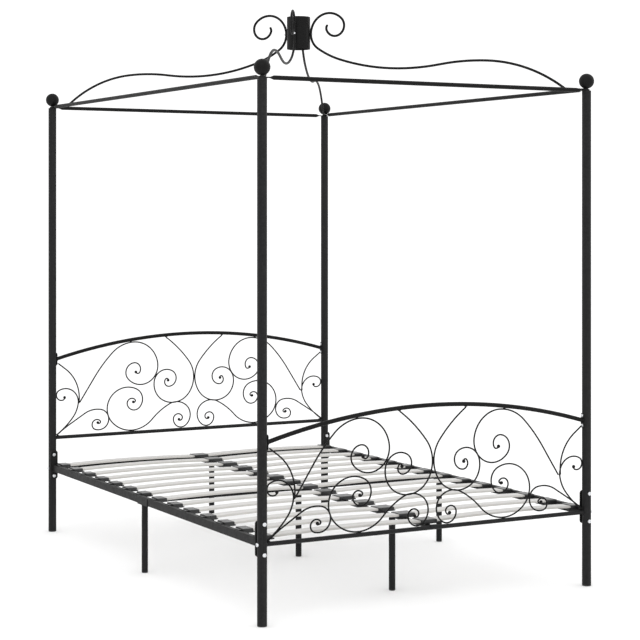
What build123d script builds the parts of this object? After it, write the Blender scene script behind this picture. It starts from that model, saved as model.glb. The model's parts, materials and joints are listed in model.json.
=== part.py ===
from build123d import *
import os
from math import atan2, cos, degrees, hypot, pi, radians, sin, sqrt

# Four poster canopy bed: a bolted frame of steel tube with scrollwork head and foot panels,
# two rows of sprung slats and a crown that gathers four curved canopy rods.
# Millimetres. Origin on the floor at the bed's centre, +X across, +Y to the head, +Z up.

# ---- driving dimensions -------------------------------------------------------------------
WIDTH = 1400.0            # between post axes, across
LENGTH = 2060.0           # between post axes, along
POST_D = 35.0
POST_WALL = 1.5
POST_TOP = 1899.5
FOOT_H = 5.0              # thickness of the plastic feet under posts and legs
LEG_D = 25.0
LEG_WALL = 1.2
TUBE_D = 16.0             # canopy rails, arches, cross tubes
TUBE_WALL = 1.2
WIRE_D = 6.0              # scrollwork wire
EYE_D = 13.0              # ball at the end of each curl
ROD_D = 10.0              # canopy rods
TAB_T = 3.0               # thickness of every flattened end
FINIAL_D = 58.5
FINIAL_Z = 1936.0

CROWN_D = 97.0
CROWN_WALL = 2.5
CROWN_Z = (2111.0, 2245.0)
CROWN_BOLT_Z = 2172.0

SIDE_RAIL_X = 695.0
SIDE_RAIL = (20.0, 30.0)  # section across and up
RAIL_WALL = 1.2
SIDE_RAIL_TOP = 301.0
PLATE_T = 3.5             # end plates of the side rails
PLATE_Z = (238.0, 364.0)
PLATE_W = 35.0
FOOT_BOLTS_Z = (249.0, 355.0)
HEAD_BOLTS_Z = (252.0, 346.0)

PANEL_RAIL_Z = {"head": 420.0, "foot": 283.0}
HEAD_CROSS_Z = 284.0
ARCH_END = 352.0          # arch tube at the post, above the panel's bottom rail
ARCH_RISE = 95.0
ARCH_PLATE = (3.0, 19.0, 55.0)
ARCH_BOLT_PITCH = 37.0
ARCH_INSERT_D = 9.0

CENTRE_RAIL_Z = 283.0     # axis of the centre tube
CENTRE_LEGS_Y = (-746.0, 0.0, 838.0)
SADDLE_L = 96.0           # bracket under the middle of each side rail
SADDLE_WALL = 2.0
CROSS_Z = 283.0           # middle cross tubes
HOOK_T = 3.0              # strap that hangs the centre rail on a cross tube
HOOK_W = 26.0
HOOK_DROP = 10.0          # straight end of the strap, below the tube's axis

SLAT_COUNT = 14
SLAT_PITCH = 150.0
SLAT_FIRST_Y = -975.0
SLAT_W = 53.0
SLAT_T = 8.0
SLAT_CAMBER = 7.0
SLAT_END_TOP = 304.0
SLAT_X = (9.0, 681.0)     # inner and outer ends of a slat
HOLDER_W = 64.0
HOLDER_Z = (292.5, 308.0)
HOLDER_ROUND = 5.0        # crown of a holder's long top edges
POCKET_Z = (295.8, 305.8)
POCKET_CLEAR = 0.6        # play of a slat in its pocket, each side
SIDE_CAP_X = 646.0        # where the upper lip of a side holder ends
CENTRE_CAP_X = 34.0
LIP = 8.0                 # how far each lower lip reaches past the upper one
PEG_D = 6.0               # peg of a side holder, in the side rail's inner wall
PEG_Z = 296.0
PIN_D = 7.0               # pin of a centre holder, in the centre rail's top
CHEEK = 3.0               # wall of a centre holder's clip beside the centre rail
CHEEK_H = 5.0

M8 = {"d": 7.8, "head_d": 14.5, "head_h": 4.5, "key": 5.0, "nut": 13.0, "nut_h": 6.5}
M6 = {"d": 5.8, "head_d": 12.5, "head_h": 3.6, "key": 4.0, "nut": 10.0, "nut_h": 5.0}
M4 = {"d": 3.9, "head_d": 8.5, "head_h": 2.6, "key": 2.5, "nut": 7.0, "nut_h": 3.2}
CLEAR = 0.6               # added to a bolt's diameter for its hole
GAP = 0.05                # clearance left where two pieces butt

POST_R = POST_D / 2
TUBE_R = TUBE_D / 2
WIRE_R = WIRE_D / 2
HOOK_R = TUBE_R + 2 * GAP     # inside of the strap's curl
X_POST = WIDTH / 2
Y_POST = LENGTH / 2
X_FACE = X_POST - POST_R      # inner side of the posts, across
Y_FACE = Y_POST - POST_R      # inner side of the posts, along
CORNERS = {"front_left": (-1, -1), "front_right": (1, -1), "rear_left": (-1, 1), "rear_right": (1, 1)}

# Scrollwork of one half panel. Each wire starts at (across, above the bottom rail's axis) with a
# heading in degrees; a bend is (radius, turn), a straight run is (None, length). The wires lie
# side by side in two layers, one in front of the panel's middle plane and one behind it.
LAYER = WIRE_R + GAP
WIRE_REST = sqrt((TUBE_R + WIRE_R) ** 2 - LAYER ** 2)   # wire axis over the axis of a tube it rests on
CORNER_CURL = ((-679.7, WIRE_REST), 35, [(362, 17), (133, 28), (63, 127), (24, 174), (10, 78)], 1)
CORNER_BRACE = ((-673.2, 332), -37, [(None, 43), (166, -60)], -1)
TALL_SCROLL = ((-568, 151.5), 57,
               [(None, 134), (653, -12), (155, -45), (117, -81), (85, -147), (44, -127), (30, -123),
                (11, -132)], 1)
MIDDLE_SCROLL = ((-143.4, 432), -36,
                 [(None, 4), (530, -17), (126, -70), (103, -86), (87, -69), (62, -111), (38, -149),
                  (21, -135), (7, -155)], -1)
LOW_TILT = 4.0                                   # slope of the low scroll where it touches its rail
LOW_SCROLL_Z = WIRE_REST + 130 * (1 - cos(radians(LOW_TILT))) + GAP
LOW_SCROLL_OUT = ((-306, LOW_SCROLL_Z), 180 + LOW_TILT,
                  [(130, -51), (91, -84), (103, -75), (53, -111), (36, -112), (23, -154), (7, -170)], 1)
LOW_SCROLL_IN = ((-306, LOW_SCROLL_Z), LOW_TILT,
                 [(144, 43), (312, -20), (78, -64), (60, -105), (39, -126), (24, -143), (14, -101),
                  (7, -100)], 1)
SIDE_SCROLL = ((-680, WIRE_REST), 39,
               [(None, 13), (525, -7), (None, 83), (110, -44), (46, -148), (55, -36), (23, -207),
                (7, -200)], -1)

# One canopy rod in its own upright plane, from the crown outwards: the bends below the crown bolt
# down to the post, and the curl above it.
ROD_TAIL = [(74, 56), (404, 16), (970, 14), (1034, 12), (970, -12), (598, -33)]
ROD_FOOT_R = 30.0
ROD_CURL = [(83, -135), (42, -202), (20, -56)]


# ---- shared shapes ------------------------------------------------------------------------
def bent_path(start, heading, bends):
    """Tangent chain of arcs and runs in the XY plane."""
    edges = []
    point = Vector(start[0], start[1])
    direction = Vector(cos(radians(heading)), sin(radians(heading)))
    for radius, turn in bends:
        if radius is None:
            piece = Line(point, point + direction * turn)
        else:
            piece = JernArc(point, direction, radius, turn)
        edges += piece.edges()
        point = piece @ 1
        direction = piece % 1
    return Wire(edges, sequenced=True)


def round_bar(path, diameter):
    """Solid round bar along a path."""
    section = Plane(origin=path @ 0, z_dir=path % 0) * Circle(diameter / 2)
    return sweep(section, path=path)


def pipe(diameter, wall, length):
    """Hollow tube along +Z from the origin."""
    return extrude(Circle(diameter / 2) - Circle(diameter / 2 - wall), length)


def box_tube(across, up, wall, length):
    """Hollow rectangular tube along +Y, centred on the origin in X and Z."""
    corner = 2.0
    outer = RectangleRounded(across, up, corner)
    inner = RectangleRounded(across - 2 * wall, up - 2 * wall, corner - wall)
    return Rot(90, 0, 0) * extrude(outer - inner, length / 2, both=True)


def along_x(shape, sign=1):
    return Rot(0, 90 * sign, 0) * shape


def along_y(shape, sign=1):
    return Rot(-90 * sign, 0, 0) * shape


def stand_up(shape):
    """Turn the XY plane into the XZ plane, +Y to +Z."""
    return Rot(90, 0, 0) * shape


def bolt(kind, length):
    """Button head below z = 0, hexagon socket, shank up to z = length."""
    head = Pos(0, 0, -kind["head_h"]) * extrude(Circle(kind["head_d"] / 2), kind["head_h"])
    rim = head.edges().filter_by(GeomType.CIRCLE).sort_by(Axis.Z)[0]
    head = fillet(rim, kind["head_h"] * 0.55)
    socket = Pos(0, 0, -kind["head_h"]) * extrude(hexagon(kind["key"]), kind["head_h"] * 0.6)
    return head - socket + extrude(Circle(kind["d"] / 2), length)


def hexagon(across_flats):
    return RegularPolygon(across_flats / 2, 6, major_radius=False)


def nut(kind):
    """Hexagon nut on z = 0, bore a hair over the shank."""
    return extrude(hexagon(kind["nut"]) - Circle(kind["d"] / 2 + GAP), kind["nut_h"])


def hole(kind, length):
    """Cutter for a clearance hole along +Z, both ways from the origin."""
    return extrude(Circle((kind["d"] + CLEAR) / 2), length, both=True)


def insert(outer_d, length, kind):
    """Plain bush with a bore for a bolt's shank, from z = 0 up."""
    return extrude(Circle(outer_d / 2) - Circle(kind["d"] / 2 + GAP), length)


def flat_end_tube(length, hole_d):
    """Round tube along X, both ends drawn down to a flat tab with a round end and a hole.

    length is between the holes."""
    flat_w = (pi * TUBE_D - pi * TAB_T) / 2 + TAB_T
    tab_l = 30.0
    taper_l = 16.0
    straight = length - 2 * (tab_l + taper_l)
    body = Pos(-straight / 2, 0, 0) * along_x(pipe(TUBE_D, TUBE_WALL, straight))
    tab = Rectangle(tab_l, flat_w, align=(Align.MIN, Align.CENTER)) + Circle(flat_w / 2) - Circle(hole_d / 2)
    end_piece = Pos(-length / 2, 0, -TAB_T / 2) * extrude(tab, TAB_T)
    taper = loft([Pos(-length / 2 + tab_l, 0, 0) * (Plane.YZ * SlotOverall(flat_w, TAB_T)),
                  Pos(-straight / 2, 0, 0) * (Plane.YZ * Circle(TUBE_R))])
    end_piece = end_piece + taper
    return body + end_piece + mirror(end_piece, about=Plane.YZ)


def save(name, shapes):
    """One STEP file per named piece; a group of separate solids becomes one compound."""
    if not isinstance(shapes, (list, tuple)):
        shapes = [shapes]
    solids = []
    for shape in shapes:
        solids += shape.solids()
    result = solids[0] if len(solids) == 1 else Compound(children=solids)
    result.label = name
    export_step(result, f"parts/{name}.step")
    print(f"{name:26s} {len(solids):3d} solids")


# ---- posts, feet and finials --------------------------------------------------------------
def post(sx, sy):
    """Upright with through holes for the side rail, the cross tube and the arch."""
    body = Pos(0, 0, FOOT_H) * pipe(POST_D, POST_WALL, POST_TOP - FOOT_H)
    panel = "foot" if sy < 0 else "head"
    for z in FOOT_BOLTS_Z if sy < 0 else HEAD_BOLTS_Z:
        body -= Pos(0, 0, z) * along_y(hole(M8, POST_D))
    cross_z = PANEL_RAIL_Z["foot"] if sy < 0 else HEAD_CROSS_Z
    body -= Pos(0, 0, cross_z) * along_x(hole(M8, POST_D))
    for z in arch_bolt_heights(panel):
        bore = extrude(Circle(ARCH_INSERT_D / 2 + GAP), POST_D)
        body -= Pos(0, 0, z) * along_x(bore, -sx)
    return Pos(sx * X_POST, sy * Y_POST, 0) * body


def foot_cap(diameter, wall):
    """Plastic foot: a rounded disc with a plug that fits inside the tube."""
    disc = extrude(Circle(diameter / 2), FOOT_H)
    disc = fillet(disc.edges().sort_by(Axis.Z)[0], 2.5)
    plug_r = diameter / 2 - wall - 0.1
    plug = Pos(0, 0, FOOT_H) * extrude(Circle(plug_r) - Circle(plug_r - 2), 18)
    return disc + plug


def top_plug():
    """Threaded insert in the top of a post; it takes the finial's stud."""
    length = 22.0
    radius = POST_R - POST_WALL - GAP
    return Pos(0, 0, POST_TOP - length) * extrude(Circle(radius) - Circle(M8["d"] / 2 + GAP), length)


def finial():
    """Ball with a flat seat on the stacked tabs and a stud down into the post."""
    seat_z = POST_TOP + 3 * TAB_T
    ball = Pos(0, 0, FINIAL_Z) * Sphere(FINIAL_D / 2)
    below = Pos(0, 0, seat_z) * Box(FINIAL_D, FINIAL_D, FINIAL_D,
                                    align=(Align.CENTER, Align.CENTER, Align.MAX))
    stud_l = 28.0
    stud = Pos(0, 0, seat_z - stud_l) * extrude(Circle(M8["d"] / 2), stud_l + 1)
    return ball - below + stud


def at_corners(shape):
    return [Pos(sx * X_POST, sy * Y_POST, 0) * shape for sx, sy in CORNERS.values()]


# ---- canopy -------------------------------------------------------------------------------
def canopy_rod(sx, sy):
    """Rod from the post's top to the crown, ending in a double curl beside the crown."""
    reach = (CROWN_D + ROD_D) / 2 / sqrt(2)
    span = hypot(X_POST - reach, Y_POST - reach)
    tail = bent_path((0, CROWN_BOLT_Z), -90, ROD_TAIL)
    slope = degrees(atan2((tail % 1).Y, (tail % 1).X))
    foot_turn = bent_path(((tail @ 1).X, (tail @ 1).Y), slope, [(ROD_FOOT_R, -slope)])
    axis_z = (foot_turn @ 1).Y
    tab_l = 32.0
    taper_l = 14.0
    run = Line(foot_turn @ 1, (span - tab_l - taper_l, axis_z))
    curl = bent_path((0, CROWN_BOLT_Z), 90, ROD_CURL)
    lower = round_bar(Wire([*tail.edges(), *foot_turn.edges(), *run.edges()], sequenced=True), ROD_D)
    rod = lower + round_bar(curl, ROD_D)
    rod = stand_up(rod)
    tip = stand_up(Pos(*(curl @ 1)) * Sphere(ROD_D / 2))
    flat_w = (pi * ROD_D - pi * TAB_T) / 2 + TAB_T
    taper = loft([Pos(span - tab_l - taper_l, 0, axis_z) * (Plane.YZ * Circle(ROD_D / 2)),
                  Pos(span - tab_l, 0, axis_z) * (Plane.YZ * SlotOverall(flat_w, TAB_T))])
    tab = Rectangle(tab_l, flat_w, align=(Align.MAX, Align.CENTER)) + Circle(flat_w / 2)
    tab -= Circle((M8["d"] + CLEAR) / 2)
    rod = rod + tip + taper + Pos(span, 0, axis_z - TAB_T / 2) * extrude(tab, TAB_T)
    level = rod_level()
    heading = degrees(atan2(sy * (Y_POST - reach), sx * (X_POST - reach)))
    rod = Pos(sx * reach, sy * reach, level) * Rot(0, 0, heading) * rod
    return rod - crown_bolt_place(sx, sy, level) * hole(M4, 3 * ROD_D)


def crown_bolt_place(sx, sy, level):
    """Where a crown bolt's head meets its rod, pointing at the crown's axis."""
    reach = (CROWN_D / 2 + ROD_D) / sqrt(2)
    heading = degrees(atan2(sy, sx))
    return Pos(sx * reach, sy * reach, CROWN_BOLT_Z + level) * Rot(0, 0, heading) * Rot(0, -90, 0)


def rod_level():
    """How far a rod moves up or down so that its tab lies on the two rail tabs."""
    tail = bent_path((0, CROWN_BOLT_Z), -90, ROD_TAIL)
    drop = ROD_FOOT_R * (1 - cos(atan2((tail % 1).Y, (tail % 1).X)))
    return POST_TOP + 2.5 * TAB_T - ((tail @ 1).Y - drop)


def crown_sleeve():
    low, high = CROWN_Z
    sleeve = Pos(0, 0, low) * pipe(CROWN_D, CROWN_WALL, high - low)
    sleeve = fillet(sleeve.edges().filter_by(GeomType.CIRCLE), 1.0)
    for sx, sy in CORNERS.values():
        sleeve -= crown_bolt_place(sx, sy, rod_level()) * hole(M4, 25)
    return sleeve


# ---- head and foot panels -----------------------------------------------------------------
def arch_bolt_heights(panel):
    middle = PANEL_RAIL_Z[panel] + ARCH_END
    return (middle - ARCH_BOLT_PITCH / 2, middle + ARCH_BOLT_PITCH / 2)


def arch_radius():
    half = X_FACE
    return (half ** 2 + ARCH_RISE ** 2) / (2 * ARCH_RISE)


def arch(panel):
    """Top tube of a panel, one circular arc, trimmed square at the end plates."""
    radius = arch_radius()
    top = PANEL_RAIL_Z[panel] + ARCH_END + ARCH_RISE
    half_angle = degrees(atan2(X_FACE, radius - ARCH_RISE)) + 1
    path = CenterArc((0, top - radius), radius, 90 - half_angle, 2 * half_angle)
    section = Plane(origin=path @ 0, z_dir=path % 0) * (Circle(TUBE_R) - Circle(TUBE_R - TUBE_WALL))
    tube = stand_up(sweep(section, path=path))
    room = 2 * (X_FACE - ARCH_PLATE[0] - GAP)
    keep = Pos(0, 0, top) * Box(room, 4 * TUBE_D, 4 * ARCH_RISE)
    return Pos(0, side_of(panel) * Y_POST, 0) * (tube & keep)


def side_of(panel):
    return -1 if panel == "foot" else 1


def arch_plates(panel):
    """Flanges on the arch's ends, one against each post."""
    thick, wide, tall = ARCH_PLATE
    middle = PANEL_RAIL_Z[panel] + ARCH_END
    flat = extrude(RectangleRounded(tall, wide, 6), thick)
    for z in (-ARCH_BOLT_PITCH / 2, ARCH_BOLT_PITCH / 2):
        flat -= Pos(z, 0, 0) * hole(M6, 10)
    plates = []
    for sx in (-1, 1):
        place = Pos(sx * (X_FACE - thick), side_of(panel) * Y_POST, middle)
        plates.append(place * along_x(flat, sx))
    return plates


def bottom_tube(z, side):
    """Straight tube between two posts."""
    length = 2 * (X_FACE - GAP)
    return Pos(-length / 2, side * Y_POST, z) * along_x(pipe(TUBE_D, TUBE_WALL, length))


def tube_inserts(z, side):
    """Threaded bushes in the two ends of a cross tube."""
    bush = insert(TUBE_D - 2 * TUBE_WALL - 2 * GAP, 20.0, M8)
    return [Pos(sx * (X_FACE - GAP), side * Y_POST, z) * along_x(bush, -sx) for sx in (-1, 1)]


def scroll(panel, wires):
    """One bent wire with a ball at each curl, and its mirror image on the other side."""
    layer = wires[0][3]
    paths = [bent_path(start, heading, bends) for start, heading, bends, _ in wires]
    bar = None
    for path in paths:
        piece = round_bar(path, WIRE_D)
        bar = piece if bar is None else bar + piece
    for path in paths:
        if len(path.edges()) > 2:
            bar = bar + Pos(*(path @ 1)) * Sphere(EYE_D / 2)
    left = Pos(0, side_of(panel) * Y_POST + layer * LAYER, PANEL_RAIL_Z[panel]) * stand_up(bar)
    return [left, mirror(left, about=Plane.YZ)]


# ---- side rails, centre rail and legs -----------------------------------------------------
def slat_rows():
    return [SLAT_FIRST_Y + k * SLAT_PITCH for k in range(SLAT_COUNT)]


def side_rail(sx):
    """Rectangular tube between the end plates, with a peg hole for every slat holder."""
    across, up = SIDE_RAIL
    length = 2 * (Y_FACE - PLATE_T - GAP)
    rail = Pos(sx * SIDE_RAIL_X, 0, SIDE_RAIL_TOP - up / 2) * box_tube(across, up, RAIL_WALL, length)
    peg_hole = along_x(extrude(Circle(PEG_D / 2 + 0.2), across / 2), sx)
    for y in slat_rows():
        rail -= Pos(sx * (SIDE_RAIL_X - across / 2 - 1), y, PEG_Z) * peg_hole
    return rail


def rail_plates(sx):
    """Flat plates on the rail's ends, each bolted to the inner side of a post."""
    low, high = PLATE_Z
    plates = []
    for sy, heights in ((-1, FOOT_BOLTS_Z), (1, HEAD_BOLTS_Z)):
        flat = extrude(RectangleRounded(PLATE_W, high - low, 11), PLATE_T)
        plate = Pos(sx * X_POST, sy * (Y_FACE - PLATE_T), (low + high) / 2) * along_y(flat, sy)
        for z in heights:
            plate -= Pos(sx * X_POST, sy * Y_FACE, z) * along_y(hole(M8, POST_D))
        plates.append(plate)
    return plates


def saddle(sx):
    """Channel under the middle of a side rail; it carries the leg and the cross tube."""
    across, up = SIDE_RAIL
    bottom = SIDE_RAIL_TOP - up - GAP
    inside = across / 2 + GAP
    floor = Box(2 * (inside + SADDLE_WALL), SADDLE_L, SADDLE_WALL,
                align=(Align.CENTER, Align.CENTER, Align.MAX))
    outer_h = up - 1
    inner_h = CROSS_Z + TUBE_R - bottom
    outer = Pos(inside, 0, 0) * Box(SADDLE_WALL, SADDLE_L, outer_h,
                                    align=(Align.MIN, Align.CENTER, Align.MIN))
    inner = Pos(-inside, 0, 0) * Box(SADDLE_WALL, SADDLE_L, inner_h,
                                     align=(Align.MAX, Align.CENTER, Align.MIN))
    channel = Pos(SIDE_RAIL_X, 0, bottom) * (floor + outer + inner)
    return channel if sx > 0 else mirror(channel, about=Plane.YZ)


def leg(x, y, top):
    return Pos(x, y, FOOT_H) * pipe(LEG_D, LEG_WALL, top - FOOT_H)


def side_legs():
    top = SIDE_RAIL_TOP - SIDE_RAIL[1] - SADDLE_WALL - 2 * GAP
    return [leg(sx * SIDE_RAIL_X, 0, top) for sx in (-1, 1)]


def centre_legs():
    top = CENTRE_RAIL_Z - TUBE_R - GAP
    return [leg(0, y, top) for y in CENTRE_LEGS_Y]


def centre_rail():
    """Round tube under the inner ends of the slats, with a pin hole for every double holder."""
    length = 2 * (Y_POST - HOOK_R - HOOK_T - GAP)
    rail = Pos(0, -length / 2, CENTRE_RAIL_Z) * along_y(pipe(TUBE_D, TUBE_WALL, length))
    for y in slat_rows():
        rail -= Pos(0, y, CENTRE_RAIL_Z) * extrude(Circle(PIN_D / 2 + 0.2), TUBE_D)
    return rail


def centre_hook(side):
    """Bent strap on the centre rail's end that hooks over the cross tube."""
    tube_z = PANEL_RAIL_Z["foot"] if side < 0 else HEAD_CROSS_Z
    ring = Circle(HOOK_R + HOOK_T) - Circle(HOOK_R)
    ring &= Rectangle(4 * HOOK_R, 4 * HOOK_R, align=(Align.CENTER, Align.MIN))
    strip = Pos(-HOOK_R, 0) * Rectangle(HOOK_T, HOOK_DROP, align=(Align.MAX, Align.MAX))
    strap = extrude(Plane.YZ * (ring + strip), HOOK_W / 2, both=True)
    return Pos(0, side * Y_POST, tube_z) * (strap if side > 0 else mirror(strap, about=Plane.XZ))


def cross_tube(sx):
    """Middle cross tube from a saddle to the centre rail."""
    outer = SIDE_RAIL_X - SIDE_RAIL[0] / 2 - SADDLE_WALL - 2 * GAP
    inner = TUBE_R + GAP
    return Pos(sx * inner, 0, CROSS_Z) * along_x(pipe(TUBE_D, TUBE_WALL, outer - inner), sx)


# ---- slats and their holders --------------------------------------------------------------
def slat(sx):
    """Cambered plywood board, ends in the holders' pockets."""
    inner, outer = SLAT_X
    middle = (inner + outer) / 2
    low = SLAT_END_TOP - SLAT_T
    top = ThreePointArc((inner, SLAT_END_TOP), (middle, SLAT_END_TOP + SLAT_CAMBER), (outer, SLAT_END_TOP))
    under = ThreePointArc((outer, low), (middle, low + SLAT_CAMBER), (inner, low))
    outline = [*top.edges(), *Line(top @ 1, under @ 0).edges()]
    outline += [*under.edges(), *Line(under @ 1, top @ 0).edges()]
    board = stand_up(extrude(make_face(outline), SLAT_W / 2, both=True))
    return board if sx > 0 else mirror(board, about=Plane.YZ)


def slats(sx):
    return [Pos(0, y, 0) * slat(sx) for y in slat_rows()]


def pocket(low_x, high_x):
    height = POCKET_Z[1] - POCKET_Z[0]
    wide = SLAT_W + 2 * POCKET_CLEAR
    room = Box(high_x - low_x, wide, height, align=(Align.MIN, Align.CENTER, Align.MIN))
    return Pos(low_x, 0, POCKET_Z[0]) * room


def crowned(cap):
    """Round the long top edges well and break the short ones."""
    cap = fillet(cap.edges().group_by(Axis.Z)[-1].filter_by(Axis.X), HOLDER_ROUND)
    return fillet(cap.edges().group_by(Axis.Z)[-1].filter_by(Axis.Y), 1.0)


def side_holder(sx):
    """Plastic shoe on the rail's inner side: pocket for the slat, lip on the rail, peg into it."""
    low, high = HOLDER_Z
    wall_x = SIDE_RAIL_X - SIDE_RAIL[0] / 2 - GAP
    back = wall_x - 2.5
    cap = Pos(SIDE_CAP_X, 0, low) * Box(wall_x - SIDE_CAP_X, HOLDER_W, high - low,
                                        align=(Align.MIN, Align.CENTER, Align.MIN))
    cap = crowned(cap)
    jaw = Pos(SIDE_CAP_X - LIP, 0, low) * Box(LIP + 4, HOLDER_W - 8, POCKET_Z[0] - low,
                                             align=(Align.MIN, Align.CENTER, Align.MIN))
    lip_z = SIDE_RAIL_TOP + GAP
    lip = Pos(wall_x - 4, 0, lip_z) * Box(16, HOLDER_W - 24, 3, align=(Align.MIN, Align.CENTER, Align.MIN))
    peg = Pos(wall_x - 2, 0, PEG_Z) * along_x(extrude(Circle(PEG_D / 2), 8))
    shoe = cap + jaw + lip + peg - pocket(SIDE_CAP_X - LIP - 1, back)
    return shoe if sx > 0 else mirror(shoe, about=Plane.YZ)


def centre_holder():
    """Double plastic shoe that clips over the centre rail, pinned into its top."""
    low, high = HOLDER_Z
    web = SLAT_X[0] - 1
    cap = Pos(0, 0, low) * Box(2 * CENTRE_CAP_X, HOLDER_W, high - low,
                               align=(Align.CENTER, Align.CENTER, Align.MIN))
    cap = crowned(cap)
    jaw = Pos(0, 0, low) * Box(2 * (CENTRE_CAP_X + LIP), HOLDER_W - 8, POCKET_Z[0] - low,
                               align=(Align.CENTER, Align.CENTER, Align.MIN))
    clip = Pos(0, 0, low - CHEEK_H) * Box(2 * (TUBE_R + CHEEK), HOLDER_W - 24, CHEEK_H + 1,
                                          align=(Align.CENTER, Align.CENTER, Align.MIN))
    clip -= Pos(0, -HOLDER_W, CENTRE_RAIL_Z) * along_y(extrude(Circle(TUBE_R + GAP), 2 * HOLDER_W))
    pin = Pos(0, 0, CENTRE_RAIL_Z) * extrude(Circle(PIN_D / 2), low + 1 - CENTRE_RAIL_Z)
    shoe = cap + jaw + clip + pin - pocket(web, CENTRE_CAP_X + LIP + 1)
    return shoe - pocket(-CENTRE_CAP_X - LIP - 1, -web)


# ---- fasteners ----------------------------------------------------------------------------
def side_rail_fasteners():
    """Bolts through each post and end plate; every head faces the foot of the bed."""
    bolts = []
    nuts = []
    for sx in (-1, 1):
        for sy, heights in ((-1, FOOT_BOLTS_Z), (1, HEAD_BOLTS_Z)):
            head_y = sy * Y_POST - POST_R - (PLATE_T if sy > 0 else 0)
            nut_y = head_y + POST_D + PLATE_T + GAP
            for z in heights:
                bolts.append(Pos(sx * X_POST, head_y - GAP, z) * along_y(bolt(M8, POST_D + PLATE_T + 8)))
                nuts.append(Pos(sx * X_POST, nut_y, z) * along_y(nut(M8)))
    return bolts, nuts


def cross_bolts():
    """One bolt through each post into the end of a bottom cross tube, head outside."""
    bolts = []
    for side, z in ((-1, PANEL_RAIL_Z["foot"]), (1, HEAD_CROSS_Z)):
        for sx in (-1, 1):
            place = Pos(sx * (X_POST + POST_R + GAP), side * Y_POST, z)
            bolts.append(place * along_x(bolt(M8, POST_D + 16), -sx))
    return bolts


def arch_fasteners():
    """Bolts through the arch plates into bushes in the posts."""
    bolts = []
    bushes = []
    for panel in ("head", "foot"):
        y = side_of(panel) * Y_POST
        for z in arch_bolt_heights(panel):
            for sx in (-1, 1):
                head_x = sx * (X_FACE - ARCH_PLATE[0] - GAP)
                bolts.append(Pos(head_x, y, z) * along_x(bolt(M6, 16), sx))
                bushes.append(Pos(sx * (X_FACE + 0.6), y, z) * along_x(insert(ARCH_INSERT_D, 11, M6), sx))
    return bolts, bushes


def crown_fasteners():
    level = rod_level()
    bolts = []
    nuts = []
    depth = ROD_D + CROWN_WALL
    for sx, sy in CORNERS.values():
        place = crown_bolt_place(sx, sy, level)
        bolts.append(place * Pos(0, 0, -4 * GAP) * bolt(M4, depth + 6))
        nuts.append(place * Pos(0, 0, depth + 0.3) * nut(M4))
    return bolts, nuts


# ---- assembly -----------------------------------------------------------------------------
def main():
    os.makedirs("parts", exist_ok=True)
    for name, (sx, sy) in CORNERS.items():
        save(f"post_{name}", post(sx, sy))
        save(f"finial_{name}", Pos(sx * X_POST, sy * Y_POST, 0) * finial())
        save(f"canopy_rod_{name}", canopy_rod(sx, sy))
    save("post_feet", at_corners(foot_cap(POST_D, POST_WALL)))
    save("post_top_plugs", at_corners(top_plug()))

    stud_hole = M8["d"] + CLEAR
    low_rail = flat_end_tube(WIDTH, stud_hole)
    high_rail = Rot(0, 0, 90) * flat_end_tube(LENGTH, stud_hole)
    low_z = POST_TOP + TAB_T / 2
    high_z = low_z + TAB_T
    save("canopy_rail_front", Pos(0, -Y_POST, low_z) * low_rail)
    save("canopy_rail_rear", Pos(0, Y_POST, low_z) * low_rail)
    save("canopy_rail_left", Pos(-X_POST, 0, high_z) * high_rail)
    save("canopy_rail_right", Pos(X_POST, 0, high_z) * high_rail)
    save("crown_sleeve", crown_sleeve())

    for panel in ("head", "foot"):
        side = side_of(panel)
        save(f"{panel}_arch", arch(panel))
        save(f"{panel}_bottom_rail", bottom_tube(PANEL_RAIL_Z[panel], side))
        save(f"{panel}_corner_curls", scroll(panel, [CORNER_CURL]))
        save(f"{panel}_corner_braces", scroll(panel, [CORNER_BRACE]))
        save(f"{panel}_tall_scrolls", scroll(panel, [TALL_SCROLL]))
        save(f"{panel}_middle_scrolls", scroll(panel, [MIDDLE_SCROLL]))
        save(f"{panel}_low_scrolls", scroll(panel, [LOW_SCROLL_OUT, LOW_SCROLL_IN]))
        save(f"{panel}_side_scrolls", scroll(panel, [SIDE_SCROLL]))
    save("arch_plates", arch_plates("head") + arch_plates("foot"))
    save("head_cross_tube", bottom_tube(HEAD_CROSS_Z, 1))
    save("cross_tube_inserts", tube_inserts(PANEL_RAIL_Z["foot"], -1) + tube_inserts(HEAD_CROSS_Z, 1))

    for name, sx in (("left", -1), ("right", 1)):
        save(f"side_rail_{name}", side_rail(sx))
        save(f"slats_{name}", slats(sx))
        save(f"slat_holders_{name}", [Pos(0, y, 0) * side_holder(sx) for y in slat_rows()])
    save("side_rail_plates", rail_plates(-1) + rail_plates(1))
    save("side_rail_saddles", [saddle(-1), saddle(1)])
    save("side_legs", side_legs())
    save("centre_rail", centre_rail())
    save("centre_rail_hooks", [centre_hook(-1), centre_hook(1)])
    save("centre_legs", centre_legs())
    save("middle_cross_tubes", [cross_tube(-1), cross_tube(1)])
    leg_spots = [(-SIDE_RAIL_X, 0), (SIDE_RAIL_X, 0)] + [(0, y) for y in CENTRE_LEGS_Y]
    save("leg_feet", [Pos(x, y, 0) * foot_cap(LEG_D, LEG_WALL) for x, y in leg_spots])
    save("slat_holders_centre", [Pos(0, y, 0) * centre_holder() for y in slat_rows()])

    bolts, nuts = side_rail_fasteners()
    save("side_rail_bolts", bolts)
    save("side_rail_nuts", nuts)
    save("cross_tube_bolts", cross_bolts())
    bolts, bushes = arch_fasteners()
    save("arch_bolts", bolts)
    save("arch_bushes", bushes)
    bolts, nuts = crown_fasteners()
    save("crown_bolts", bolts)
    save("crown_nuts", nuts)


main()
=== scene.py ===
import json
from math import atan2, cos, degrees, pi, radians, sin, sqrt

import bpy
import numpy as np
from mathutils import Matrix, Vector


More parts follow.
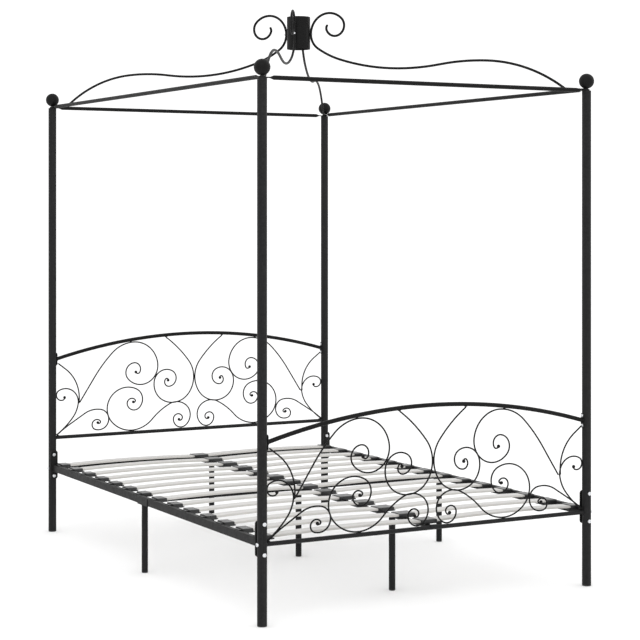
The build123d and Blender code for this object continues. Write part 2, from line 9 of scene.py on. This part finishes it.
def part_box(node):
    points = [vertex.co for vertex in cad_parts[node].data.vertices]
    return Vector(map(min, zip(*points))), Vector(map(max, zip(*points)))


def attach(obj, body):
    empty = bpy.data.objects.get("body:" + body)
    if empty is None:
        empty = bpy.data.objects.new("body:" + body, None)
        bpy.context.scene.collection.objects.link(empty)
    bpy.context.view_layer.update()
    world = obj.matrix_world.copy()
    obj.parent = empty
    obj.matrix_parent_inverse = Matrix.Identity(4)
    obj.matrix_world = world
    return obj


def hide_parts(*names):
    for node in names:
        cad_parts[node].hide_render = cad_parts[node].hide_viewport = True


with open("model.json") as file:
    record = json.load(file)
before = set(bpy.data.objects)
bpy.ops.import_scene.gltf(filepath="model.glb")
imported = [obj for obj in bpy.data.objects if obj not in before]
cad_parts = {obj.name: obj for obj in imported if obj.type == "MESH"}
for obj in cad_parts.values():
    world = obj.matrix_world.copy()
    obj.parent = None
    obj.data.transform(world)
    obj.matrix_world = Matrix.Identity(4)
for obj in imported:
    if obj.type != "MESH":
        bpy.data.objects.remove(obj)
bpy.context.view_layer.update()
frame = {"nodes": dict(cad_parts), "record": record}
NODES = frame["nodes"]
scene = bpy.context.scene

# ---- driving dimensions, millimetres, the same as the CAD model's ---------------------------
MM = 0.001
PANELS = ("head", "foot")
TUBE_R = 8.0
LEG_R = 12.5
WIRE_R = 3.0
EYE_R = 6.5               # ball at the end of each curl
GAP = 0.05
LAYER = WIRE_R + GAP      # the wires lie in two layers, one on each side of the panel's middle plane
WIRE_REST = sqrt((TUBE_R + WIRE_R) ** 2 - LAYER ** 2)
ARCH_END = 352.0          # arch tube at the post, above the panel's bottom rail
ARCH_RISE = 95.0
SLAT_COUNT = 14
SLAT_W = 53.0
SLAT_T = 8.0
SLAT_CAMBER = 7.0
SLAT_ROUND = 1.4          # rounded edge of a slat
STUD_R = 3.9              # stud under a finial
STUD_L = 28.0
STUD_BEVEL = (0.6, 0.8)   # in from the side, up from the end

# Small details that only the visual model has, millimetres.
WIRE_END_EASE = 0.4       # how much thinner a wire's cut end is
# collar behind a ball: (height over the wire, place along it from the ball's centre)
BALL_COLLAR = ((0.0, -7.2), (0.7, -6.2), (1.1, -5.2), (0.9, -4.4))
ARCH_RING = 1.5           # radius of the weld ring's bead round an arch end
LEG_RING = 1.3
WIRE_BEAD = (10.0, 5.2)   # length and width of a weld bead: where two wires touch
RAIL_BEAD = (11.0, 4.0)   # where a wire rests on the bottom rail
ARCH_BEAD = (12.0, 4.6)   # where a wire meets the arch
LEG_BEAD = (12.0, 5.0)    # where a round rail rests on a leg's rim
PLATE_BEAD = (27.0, 4.4, 30, 9)       # a side rail's long edge on its end plate: also steps and ripples
PLATE_BEAD_SHORT = (18.0, 4.4, 24, 6)

# Scrollwork of the left half of a panel, from (across, above the bottom rail's axis) and a heading in
# degrees; a bend is (radius, turn), a straight run is (None, length). The last value is the layer.
LOW_TILT = 4.0
LOW_R = 130               # first bend of a low scroll, which touches the bottom rail
LOW_Z = WIRE_REST + LOW_R * (1 - cos(radians(LOW_TILT))) + GAP
WIRES = {
    "corner_curls": [((-679.7, WIRE_REST), 35, [(362, 17), (133, 28), (63, 127), (24, 174), (10, 78)], 1)],
    "corner_braces": [((-673.2, 332), -37, [(None, 43), (166, -60)], -1)],
    "tall_scrolls": [((-568, 151.5), 57, [(None, 134), (653, -12), (155, -45), (117, -81), (85, -147),
                                          (44, -127), (30, -123), (11, -132)], 1)],
    "middle_scrolls": [((-143.4, 432), -36, [(None, 4), (530, -17), (126, -70), (103, -86), (87, -69),
                                             (62, -111), (38, -149), (21, -135), (7, -155)], -1)],
    "low_scrolls": [((-306, LOW_Z), 180 + LOW_TILT, [(LOW_R, -51), (91, -84), (103, -75), (53, -111),
                                                     (36, -112), (23, -154), (7, -170)], 1),
                    ((-306, LOW_Z), LOW_TILT, [(144, 43), (312, -20), (78, -64), (60, -105), (39, -126),
                                               (24, -143), (14, -101), (7, -100)], 1)],
    "side_scrolls": [((-680, WIRE_REST), 39, [(None, 13), (525, -7), (None, 83), (110, -44), (46, -148),
                                              (55, -36), (23, -207), (7, -200)], -1)],
}


# ---- shader helpers -----------------------------------------------------------------------
class Shader:
    """A node material round one Principled BSDF, with short calls for the nodes it needs."""

    def __init__(self, name):
        self.material = bpy.data.materials.new(name)
        self.material.use_nodes = True
        self.nodes = self.material.node_tree.nodes
        self.links = self.material.node_tree.links
        self.bsdf = self.nodes["Principled BSDF"]
        self.place = self.add("ShaderNodeTexCoord").outputs["Object"]

    def add(self, kind, **values):
        node = self.nodes.new(kind)
        for key, value in values.items():
            setattr(node, key, value)
        return node

    def set(self, **values):
        for key, value in values.items():
            self.bsdf.inputs[key.replace("_", " ")].default_value = value

    def link(self, output, socket):
        self.links.new(output, self.bsdf.inputs[socket])

    def stretched(self, scale):
        node = self.add("ShaderNodeMapping")
        node.inputs["Scale"].default_value = scale
        self.links.new(self.place, node.inputs["Vector"])
        return node.outputs["Vector"]

    def noise(self, scale, detail=3.0, rough=0.5, vector=None):
        node = self.add("ShaderNodeTexNoise")
        node.inputs["Scale"].default_value = scale
        node.inputs["Detail"].default_value = detail
        node.inputs["Roughness"].default_value = rough
        self.links.new(vector or self.place, node.inputs["Vector"])
        return node.outputs["Fac"]

    def ramp(self, value, low, high, start, end):
        """value from low..high turned into start..end, which are numbers or colours."""
        if isinstance(start, (int, float)):
            node = self.add("ShaderNodeMapRange")
            node.inputs["From Min"].default_value = low
            node.inputs["From Max"].default_value = high
            node.inputs["To Min"].default_value = start
            node.inputs["To Max"].default_value = end
            self.links.new(value, node.inputs["Value"])
            return node.outputs["Result"]
        node = self.add("ShaderNodeValToRGB")
        node.color_ramp.elements[0].position = low
        node.color_ramp.elements[0].color = (*start, 1)
        node.color_ramp.elements[1].position = high
        node.color_ramp.elements[1].color = (*end, 1)
        self.links.new(value, node.inputs["Fac"])
        return node.outputs["Color"]

    def mix(self, factor, a, b, blend="MIX"):
        """a and b are sockets or colours."""
        node = self.add("ShaderNodeMix", data_type="RGBA", blend_type=blend)
        for socket, value in ((node.inputs[0], factor), (node.inputs[6], a), (node.inputs[7], b)):
            if isinstance(value, bpy.types.NodeSocket):
                self.links.new(value, socket)
            else:
                socket.default_value = (*value, 1) if isinstance(value, tuple) else value
        return node.outputs[2]

    def math(self, operation, a, b=0.0):
        node = self.add("ShaderNodeMath", operation=operation)
        for socket, value in zip(node.inputs, (a, b)):
            if isinstance(value, bpy.types.NodeSocket):
                self.links.new(value, socket)
            else:
                socket.default_value = value
        return node.outputs[0]

    def bump(self, height, distance, normal=None):
        node = self.add("ShaderNodeBump")
        node.inputs["Distance"].default_value = distance
        node.inputs["Strength"].default_value = 1.0
        self.links.new(height, node.inputs["Height"])
        if normal is not None:
            self.links.new(normal, node.inputs["Normal"])
        return node.outputs["Normal"]


# ---- materials ----------------------------------------------------------------------------
# Base colours, linear: the two ends that a noise runs between.
COAT = ((0.0054, 0.0054, 0.0056), (0.0080, 0.0079, 0.0077))
COAT_WORN = (0.045, 0.045, 0.047)
ZINC = ((0.80, 0.81, 0.83), (0.62, 0.63, 0.65))
PLASTIC = ((0.008, 0.008, 0.0085), (0.014, 0.014, 0.0145))
FACE = ((0.600, 0.589, 0.577), (0.540, 0.530, 0.518))
PLY = ((0.45, 0.434, 0.407), (0.56, 0.545, 0.52))
BOARD_TONE = ((0.95, 0.95, 0.945), (1.0, 1.0, 1.0))
FLOOR = ((0.970, 0.970, 0.970), (0.980, 0.980, 0.980))
PLY_LAYERS = 7


def powder_coat():
    """Satin black powder coat: fine orange peel, faint dust and slightly worn, lighter edges."""
    s = Shader("powder_coat_black")
    dust = s.noise(9.0, 4.0, 0.6)
    coat = s.ramp(dust, 0.35, 0.72, *COAT)
    edge = s.ramp(s.add("ShaderNodeNewGeometry").outputs["Pointiness"], 0.56, 0.66, 0.0, 0.5)
    scuff = s.math("MULTIPLY", edge, s.noise(140.0, 2.0))
    s.link(s.mix(scuff, coat, COAT_WORN), "Base Color")
    s.link(s.ramp(s.noise(60.0, 3.0), 0.3, 0.7, 0.42, 0.54), "Roughness")
    peel = s.bump(s.noise(1100.0, 1.0), 0.00003)
    s.link(s.bump(s.noise(260.0, 1.0), 0.00004, normal=peel), "Normal")
    s.set(Specular_IOR_Level=0.11)
    return s.material


def zinc():
    """Bright zinc plate: pale, a little uneven, with fine turning marks."""
    s = Shader("zinc_plate")
    cloud = s.noise(320.0, 3.0)
    s.link(s.ramp(cloud, 0.3, 0.75, *ZINC), "Base Color")
    s.link(s.ramp(cloud, 0.3, 0.7, 0.22, 0.38), "Roughness")
    s.link(s.bump(s.noise(2600.0, 1.0), 0.00003), "Normal")
    s.set(Metallic=1.0)
    return s.material


def plastic():
    """Moulded black plastic: a fine grain and a soft shine that greys the tops at a low angle."""
    s = Shader("moulded_plastic")
    s.link(s.ramp(s.noise(30.0, 3.0), 0.3, 0.7, *PLASTIC), "Base Color")
    s.link(s.ramp(s.noise(45.0, 2.0), 0.3, 0.7, 0.26, 0.38), "Roughness")
    s.link(s.bump(s.noise(1500.0, 2.0), 0.00005), "Normal")
    s.set(Specular_IOR_Level=0.5)
    return s.material


def slat_wood():
    """Film-faced plywood: pale warm grey faces with a faint grain, and the veneers' lines on the edges.

    "veneer" is the height through the board, "edge" is 1 on the cut sides, "tone" is each board's own."""
    s = Shader("slat_plywood")
    along = s.stretched((2.0, 55.0, 55.0))
    grain = s.noise(8.0, 6.0, 0.65, along)
    face = s.ramp(grain, 0.30, 0.72, *FACE)
    veneer = s.add("ShaderNodeAttribute", attribute_name="veneer").outputs["Fac"]
    edge = s.add("ShaderNodeAttribute", attribute_name="edge").outputs["Fac"]
    tone = s.add("ShaderNodeAttribute", attribute_name="tone").outputs["Fac"]
    layers = s.math("ABSOLUTE", s.math("SINE", s.math("MULTIPLY", veneer, PLY_LAYERS * pi)))
    ply = s.ramp(s.math("ADD", layers, s.math("MULTIPLY", grain, 0.25)), 0.1, 0.9, *PLY)
    colour = s.mix(s.math("MULTIPLY", edge, 0.8), face, ply)
    s.link(s.mix(1.0, colour, s.ramp(tone, 0.0, 1.0, *BOARD_TONE), "MULTIPLY"), "Base Color")
    s.link(s.ramp(grain, 0.3, 0.7, 0.45, 0.60), "Roughness")
    s.link(s.bump(grain, 0.00010), "Normal")
    s.set(Specular_IOR_Level=0.35)
    return s.material


MATERIALS = {
    "frame_black": powder_coat(),
    "zinc": zinc(),
    "black_plastic": plastic(),
    "slat_wood": slat_wood(),
}


def paint(obj, material):
    obj.data.materials.clear()
    obj.data.materials.append(material)


for row in frame["record"]["subparts"]:
    paint(NODES[row["node"]], MATERIALS[row["material_slot"]])


# ---- mesh helpers -------------------------------------------------------------------------
def new_piece(name, verts, faces, slot, smooth):
    """A mesh object of the bed, riding on root; faces meeting at more than smooth degrees stay crisp."""
    mesh = bpy.data.meshes.new(name)
    mesh.from_pydata([tuple(v) for v in verts], [], [tuple(f) for f in faces])
    mesh.polygons.foreach_set("use_smooth", [True] * len(mesh.polygons))
    mesh.set_sharp_from_angle(angle=radians(smooth))
    mesh.update()
    obj = bpy.data.objects.new(name, mesh)
    scene.collection.objects.link(obj)
    paint(obj, MATERIALS[slot])
    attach(obj, "root")
    return obj


class Batch:
    """Collects vertices and faces of many closed shells that become one piece."""

    def __init__(self):
        self.verts = []
        self.faces = []

    def put(self, verts, faces, place):
        start = len(self.verts)
        self.verts += [place @ Vector(v) for v in verts]
        mirrored = place.determinant() < 0
        for f in faces:
            ids = [start + i for i in f]
            self.faces.append(ids[::-1] if mirrored else ids)

    def piece(self, name, slot, replaces=(), smooth=35.0):
        obj = new_piece(name, self.verts, self.faces, slot, smooth)
        if replaces:
            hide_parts(*replaces)
        return obj


def skin(rings):
    """Quads between equal rings of points, with a fan at each end."""
    count = len(rings[0])
    verts = [p for ring in rings for p in ring]
    faces = []
    for k in range(len(rings) - 1):
        for i in range(count):
            j = (i + 1) % count
            faces.append((k * count + i, k * count + j, (k + 1) * count + j, (k + 1) * count + i))
    for ring_at, turn in ((0, -1), (len(rings) - 1, 1)):
        verts.append(sum((Vector(p) for p in rings[ring_at]), Vector()) / count)
        base = ring_at * count
        for i in range(count):
            j = (i + 1) % count
            tri = (base + i, base + j, len(verts) - 1)
            faces.append(tri if turn > 0 else tri[::-1])
    return verts, faces


def lathe(profile, sides):
    """Closed shell turned about Z from (radius, height) points, from the bottom pole to the top pole."""
    angles = [2 * pi * i / sides for i in range(sides)]
    return skin([[Vector((radius * cos(a), radius * sin(a), height)) for a in angles]
                 for radius, height in profile])


def arc_points(centre, radius, start, end, steps):
    """Points of a circular arc, angles in degrees."""
    result = []
    for k in range(steps + 1):
        a = radians(start + (end - start) * k / steps)
        result.append((centre[0] + radius * cos(a), centre[1] + radius * sin(a)))
    return result


class Wire:
    """A bent wire's centre line in the X-Z plane, mm: tangent arcs (radius, turn) and runs (None, length)."""

    STEP = 2.4            # longest chord, mm
    STEP_TURN = 6         # largest turn between two points, degrees

    def __init__(self, start, heading, bends):
        x, z = start
        angle = heading
        self.points = [Vector((x, 0, z))]
        self.tangents = [self._heading(angle)]
        for radius, turn in bends:
            length = turn if radius is None else abs(radians(turn)) * radius
            count = max(2, round(length / self.STEP), round(abs(turn) / self.STEP_TURN) if radius else 0)
            for _ in range(count):
                half = 0 if radius is None else turn / count / 2
                chord = length / count if radius is None else 2 * radius * sin(abs(radians(half)))
                way = self._heading(angle + half)
                self.points.append(self.points[-1] + way * chord)
                angle += 2 * half
                self.tangents.append(self._heading(angle))

    @staticmethod
    def _heading(angle):
        return Vector((cos(radians(angle)), 0, sin(radians(angle))))


def round_rod(points, tangents, radii, normal, sides=12):
    """Tube of changing radius along a flat curve; normal is square to the curve's plane."""
    angles = [2 * pi * i / sides for i in range(sides)]
    rings = []
    for p, t, r in zip(points, tangents, radii):
        across = t.cross(normal)
        rings.append([p + (across * cos(a) + normal * sin(a)) * r for a in angles])
    return skin(rings)


# ---- scrollwork ---------------------------------------------------------------------------
def middle(node):
    """Centre of a CAD node's box, in metres."""
    low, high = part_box(node)
    return (Vector(low) + Vector(high)) / 2


def panel_places(panel):
    """Left half and mirrored right half of a panel, from millimetres over the bottom rail's axis."""
    origin = Matrix.Translation(middle(f"{panel}_bottom_rail")) @ Matrix.Scale(MM, 4)
    return origin, origin @ Matrix.Scale(-1, 4, (1, 0, 0))


def turned(tangent, at):
    """Place whose +Z lies along a tangent."""
    return Matrix.Translation(at) @ tangent.to_track_quat("Z", "Y").to_matrix().to_4x4()


def ball_profile(radius, steps=14):
    """(radius, height) points of a ball for lathe, from pole to pole."""
    angles = [pi * (k + 0.5) / steps for k in range(steps)]
    return [(radius * sin(a), -radius * cos(a)) for a in angles]


def scroll_piece(panel, kind):
    """Bent wires with eased ends; a curl ends in a ball with a small collar behind it."""
    batch = Batch()
    places = panel_places(panel)
    for start, heading, bends, layer in WIRES[kind]:
        wire = Wire(start, heading, bends)
        shift = Vector((0, layer * LAYER, 0))
        radii = [WIRE_R] * len(wire.points)
        radii[0] = WIRE_R - WIRE_END_EASE
        tube = round_rod([p + shift for p in wire.points], wire.tangents, radii, Vector((0, 1, 0)))
        shells = [(tube, Matrix())]
        if kind != "corner_braces":
            eye = turned(wire.tangents[-1], wire.points[-1] + shift)
            collar = [(WIRE_R + swell, along) for swell, along in BALL_COLLAR]
            shells += [(lathe(ball_profile(EYE_R), 24), eye), (lathe(collar, 20), eye)]
        for (verts, faces), local in shells:
            for place in places:
                batch.put(verts, faces, place @ local)
    batch.piece(f"{panel}_{kind}_wire", "frame_black", [f"{panel}_{kind}"])


for panel in PANELS:
    for kind in WIRES:
        scroll_piece(panel, kind)


# ---- welds --------------------------------------------------------------------------------
def bead(length, width, steps=18, ripples=5):
    """Short weld run along +Z with a rippled surface and tapered ends."""
    profile = []
    for k in range(steps + 1):
        t = (k + 0.5) / (steps + 1)
        swell = (1 - (2 * t - 1) ** 2) ** 0.45
        profile.append((width / 2 * swell * (1 + 0.10 * cos(2 * pi * ripples * t)), length * (t - 0.5)))
    return lathe(profile, 12)


def ring_weld(radius, size, ripples):
    """Rippled weld ring round Z; size is its bead's radius."""
    count = ripples * 6
    sides = 8
    verts = []
    faces = []
    for k in range(count):
        a = 2 * pi * k / count
        r = size * (1 + 0.13 * cos(ripples * a))
        for i in range(sides):
            b = 2 * pi * i / sides
            reach = radius + r * cos(b)
            verts.append(Vector((reach * cos(a), reach * sin(a), r * sin(b))))
            j = (i + 1) % sides
            n = (k + 1) % count
            faces.append((k * sides + i, n * sides + i, n * sides + j, k * sides + j))
    return verts, faces


def nearest(first, second, mirrored=False):
    """Where two wires come closest: the middle point between them and the first one's tangent."""
    a = np.array([p[:] for p in first.points])
    b = np.array([p[:] for p in second.points])
    if mirrored:
        b = b * (-1, 1, 1)
    gap = ((a[:, None] - b[None]) ** 2).sum(-1)
    i, j = np.unravel_index(gap.argmin(), gap.shape)
    return Vector((a[i] + b[j]) / 2), first.tangents[i]


def panel_welds(panel):
    """Beads where wires touch, on the bottom rail and under the arch, and a ring round each arch end."""
    wires = {kind: [Wire(*w[:3]) for w in group] for kind, group in WIRES.items()}
    places = panel_places(panel)
    batch = Batch()
    curl, brace, tall, centre, side = (wires[k][0] for k in ("corner_curls", "corner_braces", "tall_scrolls",
                                                             "middle_scrolls", "side_scrolls"))
    low_out, low_in = wires["low_scrolls"]
    touches = [nearest(curl, brace), nearest(curl, tall), nearest(tall, centre), nearest(centre, low_in),
               nearest(low_out, side), nearest(centre, centre, mirrored=True)]
    for spot, way in touches:
        for place in places:
            batch.put(*bead(*WIRE_BEAD), place @ turned(way, spot))

    rail_spots = [curl.points[0].x + 6, low_in.points[0].x - 4]
    for x in rail_spots:
        for y in (-WIRE_R, WIRE_R):
            for place in places:
                rest = turned(Vector((1, 0, 0.02)), Vector((x, y, TUBE_R + 0.6)))
                batch.put(*bead(*RAIL_BEAD), place @ rest)

    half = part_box(f"{panel}_arch")[1][0] / MM
    radius = (half ** 2 + ARCH_RISE ** 2) / (2 * ARCH_RISE)
    hub = Vector((0, 0, ARCH_END + ARCH_RISE - radius))
    for wire, layer, index in ((tall, 1, None), (centre, -1, 0)):
        reach = [(p - hub).length for p in wire.points]
        at = wire.points[reach.index(max(reach)) if index is None else index]
        out = (at - hub).normalized()
        spot = hub + out * (radius - TUBE_R - 0.4) + Vector((0, layer * WIRE_R * 0.7, 0))
        way = Vector((out.z, 0, -out.x))
        for place in places:
            batch.put(*bead(*ARCH_BEAD), place @ turned(way, spot))

    slope = Vector((radius - ARCH_RISE, 0, half)).normalized()
    for place in places:
        collar = turned(slope, Vector((-half + 0.8, 0, ARCH_END)))
        batch.put(*ring_weld(TUBE_R + 0.4, ARCH_RING, 9), place @ collar)
    batch.piece(f"{panel}_weld_beads", "frame_black")


for panel in PANELS:
    panel_welds(panel)


def rail_welds():
    """Welds of the side rails on their end plates, and of the legs on the saddles and the centre rail."""
    batch = Batch()
    for side in ("left", "right"):
        low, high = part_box(f"side_rail_{side}")
        for y in (low[1], high[1]):
            for x in (low[0], high[0]):
                spot = Vector((x, y, (low[2] + high[2]) / 2))
                batch.put(*bead(*PLATE_BEAD), turned(Vector((0, 0, 1)), spot) @ Matrix.Scale(MM, 4))
            for z in (low[2], high[2]):
                spot = Vector(((low[0] + high[0]) / 2, y, z))
                batch.put(*bead(*PLATE_BEAD_SHORT), turned(Vector((1, 0, 0)), spot) @ Matrix.Scale(MM, 4))
    for spot in leg_tops("side_legs"):
        batch.put(*ring_weld(LEG_R, LEG_RING, 12), Matrix.Translation(spot) @ Matrix.Scale(MM, 4))
    for spot in leg_tops("centre_legs"):
        for end in (-1, 1):
            rim = spot + Vector((0, end * LEG_R * MM, 0))
            batch.put(*bead(*LEG_BEAD), turned(Vector((1, 0, 0)), rim) @ Matrix.Scale(MM, 4))
    batch.piece("rail_weld_beads", "frame_black")


RIM_DEPTH = 0.0005        # metres under a node's top that still count as its rim
LEG_APART = 0.05          # metres; legs stand further apart than this and are thinner


def leg_tops(node):
    """Centres of the top rims of a node's legs, metres: the middle of each cluster of top vertices."""
    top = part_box(node)[1][2]
    clusters = []
    for v in NODES[node].data.vertices:
        if v.co.z < top - RIM_DEPTH:
            continue
        for cluster in clusters:
            if (cluster[0] - v.co).length < LEG_APART:
                cluster.append(v.co.copy())
                break
        else:
            clusters.append([v.co.copy()])
    return [(Vector(map(min, *c)) + Vector(map(max, *c))) / 2 for c in clusters]


rail_welds()


# ---- finials ------------------------------------------------------------------------------
LAST_BALL_ANGLE = 89.0    # degrees up the ball, where its top cap closes


def finial_piece(corner):
    """Ball on a small turned collar, with its stud going down into the post."""
    low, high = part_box(f"finial_{corner}")
    radius = (high[0] - low[0]) / 2 / MM
    bottom = low[2] / MM
    top = high[2] / MM
    centre = top - radius
    seat = bottom + STUD_L
    drop = centre - seat
    foot_r = sqrt(radius ** 2 - drop ** 2)
    profile = [(STUD_R - STUD_BEVEL[0], bottom), (STUD_R, bottom + STUD_BEVEL[1]), (STUD_R, seat - GAP),
               (foot_r - 1.6, seat),
               (foot_r - 0.4, seat + 0.4), (foot_r + 0.2, seat + 1.2), (foot_r - 0.2, seat + 2.2)]
    first = degrees(atan2(seat + 3.0 - centre, foot_r - 0.2))
    profile += arc_points((0, centre), radius, first, LAST_BALL_ANGLE, 24)
    batch = Batch()
    place = Matrix.Translation(((low[0] + high[0]) / 2, (low[1] + high[1]) / 2, 0)) @ Matrix.Scale(MM, 4)
    batch.put(*lathe(profile, 56), place)
    batch.piece(f"finial_{corner}_ball", "frame_black", [f"finial_{corner}"], smooth=40)


for corner in ("front_left", "front_right", "rear_left", "rear_right"):
    finial_piece(corner)


# ---- slats --------------------------------------------------------------------------------
def slat_section():
    """(across, up) round a board's section from its middle, with rounded edges."""
    half_w = SLAT_W / 2
    half_t = SLAT_T / 2
    points = []
    for cx, cz, start in ((1, 1, 0), (-1, 1, 90), (-1, -1, 180), (1, -1, 270)):
        centre = (cx * (half_w - SLAT_ROUND), cz * (half_t - SLAT_ROUND))
        points += arc_points(centre, SLAT_ROUND, start, start + 90, 3)
    for x in (half_w * 0.5, 0, -half_w * 0.5):
        points.insert(4 + (0 if x > 0 else 1 if x == 0 else 2), (x, half_t))
    return points


def board(inner, outer, y, end_top, tone):
    """One cambered board as rings along its length, and "veneer", "edge" and "tone" for each vertex."""
    section = slat_section()
    half = (outer - inner) / 2
    radius = (half ** 2 + SLAT_CAMBER ** 2) / (2 * SLAT_CAMBER)
    hub = Vector(((inner + outer) / 2, y, end_top + SLAT_CAMBER - radius))
    rings = []
    marks = []
    stations = 26         # steps along a board
    for k in range(stations + 1):
        x = -half + 2 * half * k / stations
        up = sqrt(radius ** 2 - x ** 2)
        out = Vector((x, 0, up)) / radius
        squeeze = 0.9 if k in (0, stations) else 1.0
        ring = []
        for across, height in section:
            level = (height * squeeze - SLAT_T / 2)
            ring.append(hub + out * (radius + level) + Vector((0, across * squeeze, 0)))
            on_edge = abs(across) > SLAT_W / 2 - SLAT_ROUND * 0.6
            marks.append((height / SLAT_T + 0.5, 1.0 if on_edge else 0.0, tone))
        rings.append(ring)
    verts, faces = skin(rings)
    marks += [(0.5, 1.0, tone)] * (len(verts) - len(marks))
    return verts, faces, marks


def slat_boards(side, sign):
    """One row of boards, spaced evenly between the ends of the CAD row's box; sign is -1 on the left."""
    low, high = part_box(f"slats_{side}")
    first = low[1] / MM + SLAT_W / 2
    last = high[1] / MM - SLAT_W / 2
    inner, outer = sorted((abs(low[0]) / MM, abs(high[0]) / MM))
    end_top = high[2] / MM - SLAT_CAMBER
    rng = np.random.default_rng(7 if sign > 0 else 8)
    batch = Batch()
    marks = []
    place = Matrix.Scale(MM, 4) @ Matrix.Scale(sign, 4, (1, 0, 0))
    for k in range(SLAT_COUNT):
        y = first + (last - first) * k / (SLAT_COUNT - 1)
        verts, faces, values = board(inner, outer, y, end_top, rng.random())
        batch.put(verts, faces, place)
        marks += values
    obj = batch.piece(f"slats_{side}_boards", "slat_wood", [f"slats_{side}"], smooth=50)
    for index, name in enumerate(("veneer", "edge", "tone")):
        layer = obj.data.attributes.new(name, "FLOAT", "POINT")
        layer.data.foreach_set("value", [m[index] for m in marks])


slat_boards("left", -1)
slat_boards("right", 1)


# ---- floor, light and camera --------------------------------------------------------------
FLOOR_HALF = 40.0         # metres
SURROUND = 1.16           # strength of the white surround
LIGHT_SIZE = 4.0
LIGHTS = {"key": ((-3.5, -5.0, 5.5), 70), "fill": ((5.0, -2.0, 4.5), 30)}     # place, watts
LIGHTS_AIM = Vector((0, 0, 0.8))


def studio():
    """Pale seamless floor, a bright even surround and two large soft lights."""
    scene.view_settings.view_transform = "Standard"
    mesh = bpy.data.meshes.new("floor")
    corners = [(x * FLOOR_HALF, y * FLOOR_HALF, 0) for x, y in ((-1, -1), (1, -1), (1, 1), (-1, 1))]
    mesh.from_pydata(corners, [], [(0, 1, 2, 3)])
    floor = bpy.data.objects.new("floor", mesh)
    scene.collection.objects.link(floor)
    s = Shader("floor_paint")
    s.link(s.ramp(s.noise(1.5, 2.0), 0.3, 0.7, *FLOOR), "Base Color")
    s.set(Roughness=0.9, Specular_IOR_Level=0.1)
    paint(floor, s.material)

    world = bpy.data.worlds.new("studio")
    world.use_nodes = True
    world.node_tree.nodes["Background"].inputs["Color"].default_value = (1, 1, 1, 1)
    world.node_tree.nodes["Background"].inputs["Strength"].default_value = SURROUND
    scene.world = world
    for name, (spot, power) in LIGHTS.items():
        light = bpy.data.lights.new(name, "AREA")
        light.size = LIGHT_SIZE
        light.energy = power
        lamp = bpy.data.objects.new(name, light)
        scene.collection.objects.link(lamp)
        lamp.location = spot
        lamp.rotation_euler = (LIGHTS_AIM - Vector(spot)).to_track_quat("-Z", "Y").to_euler()


def camera():
    """Level camera at seated eye height off the foot's left corner, with the lens shifted down."""
    data = bpy.data.cameras.new("camera")
    data.sensor_width = 36.0
    data.lens = 99.0
    data.shift_x = 0.0336
    data.shift_y = -0.170
    data.clip_end = 200.0
    obj = bpy.data.objects.new("camera", data)
    scene.collection.objects.link(obj)
    obj.location = (-3.4842, -6.4490, 1.4369)
    obj.rotation_euler = (pi / 2, 0, -0.4953)
    scene.camera = obj


studio()
camera()
